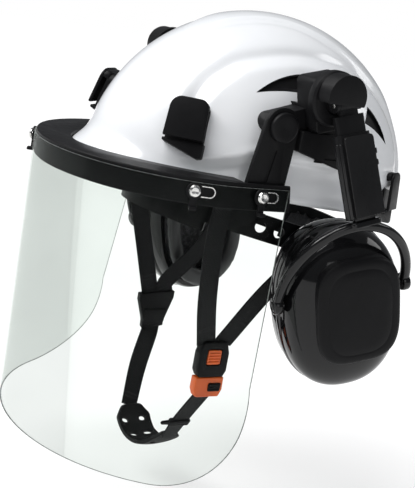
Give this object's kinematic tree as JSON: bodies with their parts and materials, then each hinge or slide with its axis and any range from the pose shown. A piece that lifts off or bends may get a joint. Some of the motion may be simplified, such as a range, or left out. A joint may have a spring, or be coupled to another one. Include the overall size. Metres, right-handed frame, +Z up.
{
  "type": "arborist helmet",
  "caption": "White climbing helmet with a tilting clear face visor, hinged ear muffs on yokes, ratchet headband and a buckled chin strap.",
  "frame": {"origin": "centre of the head opening at the level of the brim, where the head sits", "axes": "+Z up through the crown, -Y towards the face, +X to the wearer's left"},
  "size_m": [0.3244, 0.3137, 0.368],
  "materials": {
    "shell_white": "glossy injection-moulded ABS",
    "black_satin": "satin moulded nylon",
    "black_gloss": "polished ABS",
    "webbing": "woven polyester webbing",
    "padding": "brushed fabric over foam",
    "foam": "open-cell acoustic foam",
    "cushion_skin": "soft PVC film over foam",
    "orange_plastic": "moulded acetal",
    "clear_visor": "clear polycarbonate sheet",
    "bright_steel": "bright steel"
  },
  "bodies": {
    "helmet": {"shell": "shell_white", "front_vents": "black_satin", "rear_vents": "black_satin", "headlamp_clip_bases": "black_satin", "side_sockets": "black_satin", "side_brackets": "black_satin", "visor_pivot_pins": "bright_steel", "pivot_caps": "black_satin", "cradle_straps": "webbing", "cradle_anchors": "black_satin", "crown_pad": "padding", "headband": "black_satin", "brow_pad": "padding", "nape_housing": "black_satin", "nape_pad": "padding", "side_straps_left": "webbing", "side_straps_right": "webbing", "strap_anchors": "black_satin", "strap_divider": "black_satin", "buckle_body": "black_satin", "chin_strap_left": "webbing", "chin_strap_right": "webbing", "chin_cup": "black_satin"},
    "visor": {"brow_guard": "black_satin", "visor_arms": "black_satin", "visor": "clear_visor", "visor_studs": "bright_steel"},
    "lock_front_left": {"lock_front_left": "black_satin"},
    "lock_rear_left": {"lock_rear_left": "black_satin"},
    "lock_front_right": {"lock_front_right": "black_satin"},
    "lock_rear_right": {"lock_rear_right": "black_satin"},
    "clip_tab_front_left": {"clip_tab_front_left": "black_satin"},
    "clip_tab_front_right": {"clip_tab_front_right": "black_satin"},
    "clip_tab_rear_left": {"clip_tab_rear_left": "black_satin"},
    "clip_tab_rear_right": {"clip_tab_rear_right": "black_satin"},
    "muff_turret_left": {"turret_left": "black_satin", "hinge_pin_left": "bright_steel"},
    "muff_lever_left": {"muff_arm_left": "black_satin"},
    "muff_yoke_left": {"yoke_left": "black_satin"},
    "muff_cup_left": {"ear_cup_left": "black_gloss", "cup_plate_left": "black_satin", "cup_foam_left": "foam", "cushion_left": "cushion_skin"},
    "muff_turret_right": {"turret_right": "black_satin", "hinge_pin_right": "bright_steel"},
    "muff_lever_right": {"muff_arm_right": "black_satin"},
    "muff_yoke_right": {"yoke_right": "black_satin"},
    "muff_cup_right": {"ear_cup_right": "black_gloss", "cup_plate_right": "black_satin", "cup_foam_right": "foam", "cushion_right": "cushion_skin"},
    "ratchet": {"ratchet_pinion": "black_satin", "ratchet_knob": "black_satin"},
    "tail_left": {"nape_tail_left": "black_satin"},
    "tail_right": {"nape_tail_right": "black_satin"},
    "release_button": {"buckle_button": "orange_plastic"},
    "tongue": {"buckle_tongue": "orange_plastic"}
  },
  "joints": [
    {"name": "visor_tilt", "type": "hinge", "parent": "helmet", "child": "visor", "pos_m": [0, -0.046, 0.041], "axis": [-1, 0, 0], "range_deg": [0, 95]},
    {"name": "lock_front_left_turn", "type": "hinge", "parent": "visor", "child": "lock_front_left", "pos_m": [0.10846, -0.10733, -0.009], "axis": [0.9297, -0.363, 0.0625], "range_deg": [0, 90]},
    {"name": "lock_rear_left_turn", "type": "hinge", "parent": "visor", "child": "lock_rear_left", "pos_m": [0.11644, -0.05801, -0.009], "axis": [0.9946, 0, 0.1034], "range_deg": [0, 90]},
    {"name": "lock_front_right_turn", "type": "hinge", "parent": "visor", "child": "lock_front_right", "pos_m": [-0.06392, -0.15707, -0.009], "axis": [-0.5489, -0.8358, 0.0051], "range_deg": [0, 90]},
    {"name": "lock_rear_right_turn", "type": "hinge", "parent": "visor", "child": "lock_rear_right", "pos_m": [-0.11644, -0.05801, -0.009], "axis": [-0.9946, 0, 0.1034], "range_deg": [0, 90]},
    {"name": "clip_tab_front_left_flex", "type": "hinge", "parent": "helmet", "child": "clip_tab_front_left", "pos_m": [0.06925, -0.09915, 0.04974], "axis": [-0.6561, -0.7547, 0], "range_deg": [0, 12], "stiffness_Nm_per_rad": 1},
    {"name": "clip_tab_front_right_flex", "type": "hinge", "parent": "helmet", "child": "clip_tab_front_right", "pos_m": [-0.06925, -0.09915, 0.04974], "axis": [-0.6561, 0.7547, 0], "range_deg": [0, 12], "stiffness_Nm_per_rad": 1},
    {"name": "clip_tab_rear_left_flex", "type": "hinge", "parent": "helmet", "child": "clip_tab_rear_left", "pos_m": [0.08932, 0.08401, 0.01196], "axis": [0.515, -0.8572, 0], "range_deg": [0, 12], "stiffness_Nm_per_rad": 1},
    {"name": "clip_tab_rear_right_flex", "type": "hinge", "parent": "helmet", "child": "clip_tab_rear_right", "pos_m": [-0.08932, 0.08401, 0.01196], "axis": [0.515, 0.8572, 0], "range_deg": [0, 12], "stiffness_Nm_per_rad": 1},
    {"name": "muff_turn_left", "type": "hinge", "parent": "helmet", "child": "muff_turret_left", "pos_m": [0.121, -0.017, 0.067], "axis": [1, 0, 0], "range_deg": [0, 3]},
    {"name": "muff_swing_left", "type": "hinge", "parent": "muff_turret_left", "child": "muff_lever_left", "pos_m": [0.1345, -0.01358, 0.06585], "axis": [0, -0.9659, -0.2588], "range_deg": [0, 25]},
    {"name": "muff_height_left", "type": "slide", "parent": "muff_lever_left", "child": "muff_yoke_left", "axis": [0.2487, 0.2507, -0.9356], "range_m": [0, 0.02]},
    {"name": "cup_tilt_left", "type": "hinge", "parent": "muff_yoke_left", "child": "muff_cup_left", "pos_m": [0.13, 0.02105, -0.07499], "axis": [0.1736, 0.9513, 0.2549], "range_deg": [-5, 5]},
    {"name": "muff_turn_right", "type": "hinge", "parent": "helmet", "child": "muff_turret_right", "pos_m": [-0.121, -0.017, 0.067], "axis": [1, 0, 0], "range_deg": [0, 3]},
    {"name": "muff_swing_right", "type": "hinge", "parent": "muff_turret_right", "child": "muff_lever_right", "pos_m": [-0.1345, -0.01358, 0.06585], "axis": [0, 0.9659, 0.2588], "range_deg": [0, 25]},
    {"name": "muff_height_right", "type": "slide", "parent": "muff_lever_right", "child": "muff_yoke_right", "axis": [-0.2487, 0.2507, -0.9356], "range_m": [0, 0.02]},
    {"name": "cup_tilt_right", "type": "hinge", "parent": "muff_yoke_right", "child": "muff_cup_right", "pos_m": [-0.13, 0.02105, -0.07499], "axis": [0.1736, -0.9513, -0.2549], "range_deg": [-5, 5]},
    {"name": "ratchet_turn", "type": "hinge", "parent": "helmet", "child": "ratchet", "pos_m": [0, 0.10209, -0.06584], "axis": [0, 0.9816, -0.1908], "range_deg": [-180, 180]},
    {"name": "nape_tail_left_slide", "type": "hinge", "parent": "helmet", "child": "tail_left", "pos_m": [0, 0.01963, -0.04982], "axis": [0, 0.1908, 0.9816], "range_deg": [-13.9, 13.9]},
    {"name": "nape_tail_right_slide", "type": "hinge", "parent": "helmet", "child": "tail_right", "pos_m": [0, 0.01963, -0.04982], "axis": [0, 0.1908, 0.9816], "range_deg": [-13.9, 13.9]},
    {"name": "buckle_press", "type": "slide", "parent": "helmet", "child": "release_button", "axis": [-1, 0, 0], "range_m": [0, 0.0012], "stiffness_N_per_m": 500},
    {"name": "tongue_pull", "type": "slide", "parent": "helmet", "child": "tongue", "axis": [0, 0, -1], "range_m": [0, 0.022], "deforming": ["chin_strap_left"]}
  ],
  "couplings": [
    {"joint": "nape_tail_left_slide", "follows": "ratchet_turn", "ratio": -0.076933},
    {"joint": "nape_tail_right_slide", "follows": "ratchet_turn", "ratio": 0.076933}
  ]
}
